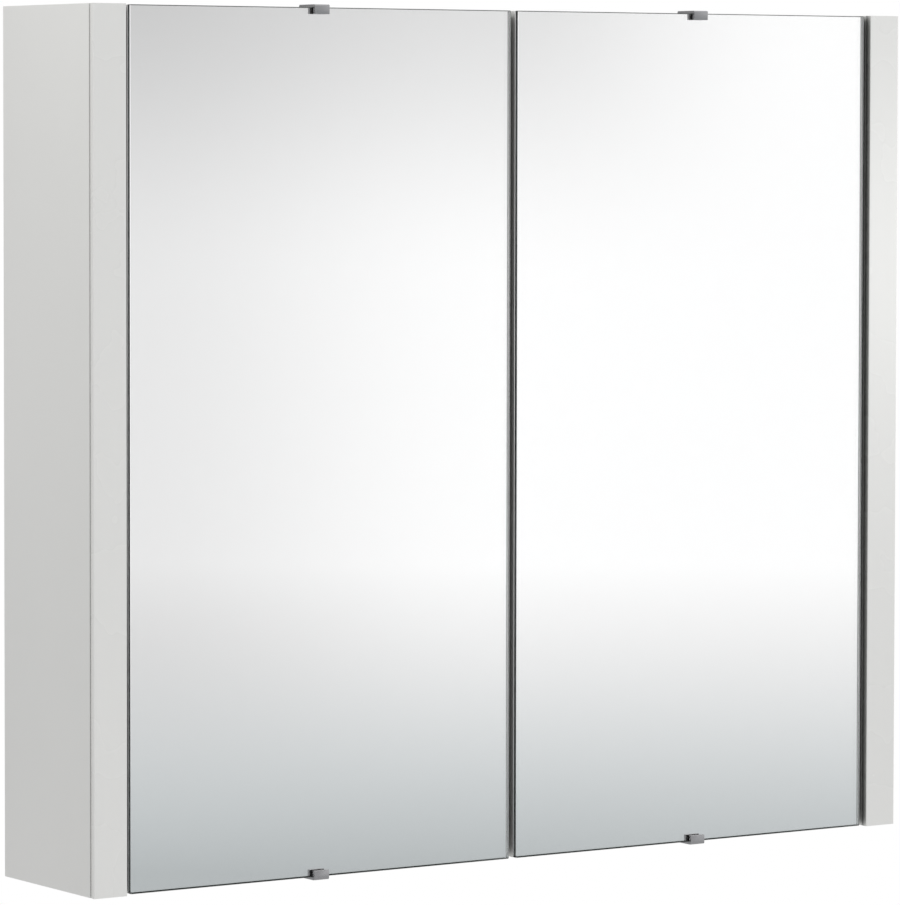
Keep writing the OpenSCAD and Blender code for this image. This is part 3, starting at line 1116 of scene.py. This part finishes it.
# ---- carcass
@dataclass(frozen=True)
class Carcass:
    """The boards, back, shelves and joining fittings between the gables."""

    body: str = "carcass"
    board_arris: float = 0.45 * MM
    back_arris: float = 0.2 * MM
    glass_arris: float = 0.5 * MM
    boards: tuple[str, ...] = (
        "left_gable", "right_gable", "top_panel", "bottom_panel",
        "upper_mounting_rail", "lower_mounting_rail",
    )
    shelves: tuple[str, ...] = ("upper_shelf", "lower_shelf")

    def build(self) -> None:
        """Builds every piece of the carcass."""
        for node in self.boards:
            piece(node, "board", self.body, WHITE_BOARD, softened(node, self.board_arris, 3))
        piece("back_panel", "board", self.body, BACK_BOARD, softened("back_panel", self.back_arris))
        for node in ("left_front_edging", "right_front_edging"):
            refinish(node, WHITE_EDGING)
        for node in self.shelves:
            self.glass_shelf(node)
        for fitting in self.fittings():
            fitting.build()

    def glass_shelf(self, node: str) -> Object:
        """Builds a glass shelf with polished, greener edges.

        Args:
            node: Its CAD node.

        Returns:
            The piece's object.
        """
        low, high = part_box(node)
        shelf = piece(node, "glass", self.body, SHELF_GLASS, slab(low, high, self.glass_arris))
        ground_edges(shelf, SHELF_EDGE)
        return shelf

    def fittings(self) -> list[Fitting]:
        """The carcass's turned fittings.

        Returns:
            One fitting for each CAD node that holds repeated parts.
        """
        return [
            Fitting(
                "fixing_washers", self.body, STEEL, Facing.TO_FRONT,
                stack(Bevel=(0.4, 8.6, 9.0), Plate=(1.2, 9.0, 9.0)),
                recess=Recess.BORE, recess_reach=3.2 * MM, recess_depth=3.0 * MM,
            ),
            Fitting(
                "shelf_supports", self.body, NICKEL_PLATE, Facing.TO_MIDDLE,
                stack(
                    Nose=(0.6, 1.9, 2.5), Pin=(6.9, 2.5, 2.5), Collar=(1.2, 3.8, 4.0),
                    Peg=(9.3, 2.48, 2.48), Lead=(0.5, 2.48, 2.0),
                ),
            ),
            Fitting(
                "cam_locks", self.body, ZINC, Facing.TO_END,
                stack(Rim=(0.4, 7.0, 7.4), Drum=(11.1, 7.4, 7.4), Foot=(0.5, 7.4, 6.9)),
                recess=Recess.CROSS, recess_width=1.8 * MM, recess_reach=5.2 * MM, recess_depth=2.5 * MM,
            ),
            Fitting(
                "cam_bolts", self.body, STEEL, Facing.TO_MIDDLE,
                stack(
                    Nose=(1.0, 2.6, 3.5), Head=(2.2, 3.5, 3.5), Neck=(4.2, 2.0, 2.0),
                    Collar=(9.0, 3.5, 3.5), Shank=(10.0, 2.0, 2.0), Tip=(1.9, 2.0, 0.6),
                ),
                thread_rise=0.4 * MM, thread_pitch=1.5 * MM,
            ),
            Fitting(
                "cam_caps", self.body, WHITE_PLASTIC, Facing.TO_END,
                stack(Crown=(0.25, 8.2, 8.9), Disc=(0.7, 8.9, 8.9)),
            ),
            Fitting(
                "dowels", self.body, BEECH, Facing.TO_MIDDLE,
                stack(Nose=(1.2, 3.1, 3.95), Rod=(27.6, 3.95, 3.95), Tail=(1.2, 3.95, 3.1)),
                flutes=12,
            ),
            Fitting(
                "door_buffers", self.body, RUBBER, Facing.TO_FRONT,
                stack(Crown=(0.5, 1.6, 2.7), Dome=(1.0, 2.7, 3.4), Foot=(3.4, 3.4, 4.0)),
            ),
        ]


# ---- hinges
@dataclass(frozen=True)
class HingeSet:
    """The mounting plates and arms on the gables, and the screws that hold them."""

    body: str = "carcass"
    plate_arris: float = 0.5 * MM
    arm_arris: float = 0.35 * MM

    def build(self) -> None:
        """Builds the plates, arms and screws of all four hinges."""
        for side in Side:
            for end in ("upper", "lower"):
                plate = f"{side.value}_{end}_mounting_plate"
                piece(plate, "cast", self.body, NICKEL_PLATE, softened(plate, self.plate_arris))
                arm = f"{side.value}_{end}_hinge_arm"
                piece(arm, "pressed", self.body, NICKEL_PLATE, softened(arm, self.arm_arris))
        screw(
            "plate_screws", self.body, Facing.TO_MIDDLE, 4.2 * MM, 3.4 * MM, 2.2 * MM, 2.45 * MM, 12.8 * MM
        ).build()
        screw(
            "arm_screws", self.body, Facing.TO_MIDDLE, 4.0 * MM, 3.9 * MM, 2.4 * MM, 2.0 * MM, 8.2 * MM
        ).build()


# ---- doors
class Side(Enum):
    """A side of the cabinet."""

    LEFT = "left"
    RIGHT = "right"


@dataclass(frozen=True)
class MirrorDoor:
    """One door: its board, silvered glass, clips, hinge cups and screws."""

    side: Side
    board_arris: float = 0.4 * MM
    cup_arris: float = 0.3 * MM
    clip_bend: float = 1.3 * MM
    clip_arris: float = 0.22 * MM
    clip_shortest: float = 0.9 * MM
    glass_arris: float = 0.45 * MM
    seal_t: float = 0.05 * MM
    silver_t: float = 0.05 * MM
    silver_air: float = 0.01 * MM

    @property
    def body(self) -> str:
        """The door's body."""
        return self.side.value + "_door"

    def node(self, name: str) -> str:
        """The name of one of this door's nodes."""
        return f"{self.side.value}_{name}"

    def build(self) -> None:
        """Builds every piece of the door."""
        board = self.node("door_board")
        piece(board, "panel", self.body, DOOR_BOARD, softened(board, self.board_arris, 3))
        self.mirror()
        for name in ("top_clip", "bottom_clip"):
            self.clip(self.node(name))
        for name in ("upper_hinge_cup", "lower_hinge_cup"):
            cup = self.node(name)
            piece(cup, "pressed", self.body, NICKEL_PLATE, softened(cup, self.cup_arris))
        refinish(self.node("hinge_pins"), STEEL)
        screw(
            self.node("cup_screws"), self.body, Facing.TO_REAR, 3.4 * MM, 2.6 * MM, 1.6 * MM,
            1.7 * MM, 12.2 * MM,
        ).build()
        screw(
            self.node("clip_screws"), self.body, Facing.TO_REAR, 1.5 * MM, 2.8 * MM, 1.2 * MM,
            1.5 * MM, 10.3 * MM,
        ).build()

    def mirror(self) -> None:
        """Glass with ground arrises, the silver behind it and a dark seal along its two ends."""
        node = self.node("mirror")
        low, high = (Vector(corner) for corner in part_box(node))
        a, s, d = self.glass_arris, self.seal_t, high.y - low.y
        rim = Vector((0, 0, s))
        back = Vector((0, self.silver_t + self.silver_air, 0))
        glass = piece(node, "glass", self.body, MIRROR_GLASS, slab(low + rim, high - rim - back, a))
        ground_edges(glass, MIRROR_EDGE)
        inset = rim + Vector((s, 0, a))
        front = Vector((low.x, high.y - self.silver_t, low.z))
        silver = slab(front + inset, high - inset, 0.2 * self.silver_t)
        piece(node, "silvering", self.body, MIRROR_SILVER, silver)
        section = [
            (a, 0), (0, a), (0, d - a), (a, d),
            (a + s, d), (s, d - a - s), (s, a + s), (a + s, 0),
        ]
        margin = Vector((a + s, 0, 0))
        piece(node, "end_seals", self.body, EDGE_SEAL, end_bars(low + margin, high - margin, section))

    def clip(self, node: str) -> Object:
        """Builds a strip bent over the door's end, with round bends and smaller arrises.

        Args:
            node: Its CAD node.

        Returns:
            The piece's object.
        """
        mesh = cad_mesh(node)
        bmesh.ops.dissolve_limit(mesh, angle_limit=FLAT, verts=mesh.verts, edges=mesh.edges)
        low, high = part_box(node)
        outer = high.z if high.z > 0 else low.z
        bends = [
            e for e in mesh.edges
            if abs(e.verts[0].co.z - outer) < WELD and abs(e.verts[1].co.z - outer) < WELD
            and abs(e.verts[0].co.y - e.verts[1].co.y) < WELD and e.calc_face_angle(0.0) > CREASE
        ]
        bevel(mesh, bends, self.clip_bend, 5)
        round_off(mesh, self.clip_arris, 2, self.clip_shortest)
        return piece(node, "bent", self.body, NICKEL_CLIP, mesh)


# ---- studio
@dataclass(frozen=True)
class Lamp:
    """A soft lamp."""

    name: str
    place: tuple[float, float, float]
    size: float
    power: float
    aim: tuple[float, float, float] = (0.0, 0.0, 0.0)
    colour: Colour = (1.0, 1.0, 1.0)

    def build(self) -> None:
        """Makes the lamp, which lights the cabinet but isn't seen itself."""
        data = bpy.data.lights.new(self.name, "AREA")
        data.shape = "DISK"
        data.size = self.size
        data.energy = self.power
        data.color = self.colour
        lamp = bpy.data.objects.new(self.name, data)
        bpy.context.scene.collection.objects.link(lamp)
        lamp.location = self.place
        lamp.rotation_mode = "QUATERNION"
        lamp.rotation_quaternion = (Vector(self.aim) - Vector(self.place)).to_track_quat("-Z", "Y")
        lamp.visible_camera = lamp.visible_glossy = lamp.visible_transmission = False


@dataclass(frozen=True)
class Studio:
    """A plain pale floor, a white room with soft light, and the camera.

    Each fade is where it starts and ends, and the level at its start and end. Its direction is in
    degrees above level, or in degrees round from straight ahead of the cabinet, or an X component.
    """

    floor_drop: float = 1.45
    floor_radius: float = 6.3
    camera_place: tuple[float, float, float] = (-2.1959, -3.3511, 0.2391)
    camera_yaw: float = 0.58615
    camera_pitch: float = 0.04680
    camera_roll: float = 0.00185
    focal_in_frames: float = 5.6443
    camera_rise: float = -0.1
    low_fade: Fade = (-8.4, -4.95, 0.525, 1.07)     # darker low down, by height
    side_fade: Fade = (29.6, 34.3, 0.80, 1.0)       # darker to the left, by turn
    side_from: Fade = (-8.2, -5.4, 0.0, 1.0)        # but not low down, by height
    top_fade: Fade = (-1.9, 1.9, 0.0, 0.27)         # shade high up, by height
    top_side: Fade = (33.9, 37.8, 1.0, 0.0)         # only to the left, by turn
    top_end: Fade = (6.0, 20.0, 1.0, 0.0)           # and not overhead, by height
    far_fade: Fade = (-0.95, 0.35, 0.68, 1.0)       # dimmer on the far left, by X component
    cool_fade: Fade = (-8.4, -5.5, 0.0, 1.0)        # from cool to white, by height
    cool: Colour = (0.93, 0.985, 1.0)
    white: Colour = (1.0, 1.0, 1.0)
    lamps: tuple[Lamp, ...] = (
        Lamp("left_lamp", (-1.2, -0.25, 1.15), 0.4, 5.0, colour=(1.0, 0.99, 0.97)),
        Lamp("front_lamp", (0.0, -1.0, 0.08), 0.3, 0.75),
        Lamp("right_lamp", (0.4, -0.37, 0.14), 0.1, 0.14, aim=(0.38, 0.0, 0.14)),
    )
    sides: int = 96

    def build(self) -> None:
        """Builds the camera, the floor and the light."""
        bpy.context.scene.view_settings.view_transform = "Standard"
        self.camera()
        self.floor()
        self.room()
        for lamp in self.lamps:
            lamp.build()

    def camera(self) -> None:
        """A long lens, a little above the middle of the cabinet and to its left."""
        data = bpy.data.cameras.new("camera")
        data.sensor_width = 36.0
        data.lens = data.sensor_width * self.focal_in_frames
        data.shift_y = self.camera_rise
        data.clip_start, data.clip_end = 0.05, 100.0
        eye = bpy.data.objects.new("camera", data)
        bpy.context.scene.collection.objects.link(eye)
        yaw, pitch = self.camera_yaw, self.camera_pitch
        level = math.cos(pitch)
        ahead = Vector((math.sin(yaw) * level, math.cos(yaw) * level, -math.sin(pitch)))
        eye.location = self.camera_place
        eye.rotation_mode = "QUATERNION"
        eye.rotation_quaternion = ahead.to_track_quat("-Z", "Y") @ Quaternion((0, 0, 1), self.camera_roll)
        bpy.context.scene.camera = eye

    def floor(self) -> None:
        """A round pale floor, a cabinet's hanging height below its middle."""
        mesh = bmesh.new()
        bmesh.ops.create_circle(mesh, cap_ends=True, radius=self.floor_radius, segments=self.sides)
        for vert in mesh.verts:
            vert.co.z -= self.floor_drop
        data = bpy.data.meshes.new("floor")
        mesh.to_mesh(data)
        mesh.free()
        floor = bpy.data.objects.new("floor", data)
        bpy.context.scene.collection.objects.link(floor)
        data.materials.append(FLOOR_PAINT.material())

    def room(self) -> None:
        """A white room whose light falls off low down and towards the left."""
        world = bpy.data.worlds.new("room")
        bpy.context.scene.world = world
        world.use_nodes = True
        world.node_tree.nodes.clear()
        wiring = Wiring(world.node_tree)
        way = wiring.add("ShaderNodeTexCoord").outputs["Generated"]
        x, y, z = wiring.add("ShaderNodeSeparateXYZ", {0: way}).outputs
        up = wiring.times(wiring.math("ARCSINE", z), math.degrees(1.0))
        round_ = wiring.times(wiring.math("ARCTAN2", x, wiring.times(y, -1.0)), math.degrees(1.0))
        low = wiring.add("ShaderNodeMapRange", dict(zip(
            ("Value", "From Min", "From Max", "To Min", "To Max"), (up, *self.low_fade)
        ))).outputs["Result"]
        side_dark = wiring.math("SUBTRACT", 1.0, wiring.ramp(round_, *self.side_fade))
        side = wiring.math("SUBTRACT", 1.0, wiring.times(side_dark, wiring.ramp(up, *self.side_from)))
        shade = wiring.times(*(
            wiring.ramp(value, *fade)
            for value, fade in ((up, self.top_fade), (round_, self.top_side), (up, self.top_end))
        ))
        far = wiring.ramp(x, *self.far_fade)
        light = wiring.times(low, side, wiring.math("SUBTRACT", 1.0, shade), far)
        tone = wiring.mix(wiring.ramp(up, *self.cool_fade), rgba(self.cool), rgba(self.white))
        seen = wiring.add("ShaderNodeLightPath").outputs["Is Camera Ray"]
        lit = wiring.add("ShaderNodeBackground", {"Color": tone, "Strength": light})
        backdrop = wiring.add("ShaderNodeBackground", {"Color": rgba(self.white), "Strength": 1.0})
        both = wiring.add("ShaderNodeMixShader", {0: seen, 1: lit.outputs[0], 2: backdrop.outputs[0]})
        wiring.add("ShaderNodeOutputWorld", {"Surface": both.outputs[0]})


def main() -> None:
    """Builds the sub-assemblies in order and reports them."""
    logging.basicConfig(level=logging.INFO, format="%(name)s: %(message)s")
    for part in (Studio(), Carcass(), HingeSet(), MirrorDoor(Side.LEFT), MirrorDoor(Side.RIGHT)):
        log.info("building %s", type(part).__name__)
        part.build()


if __name__ == "__main__":
    main()
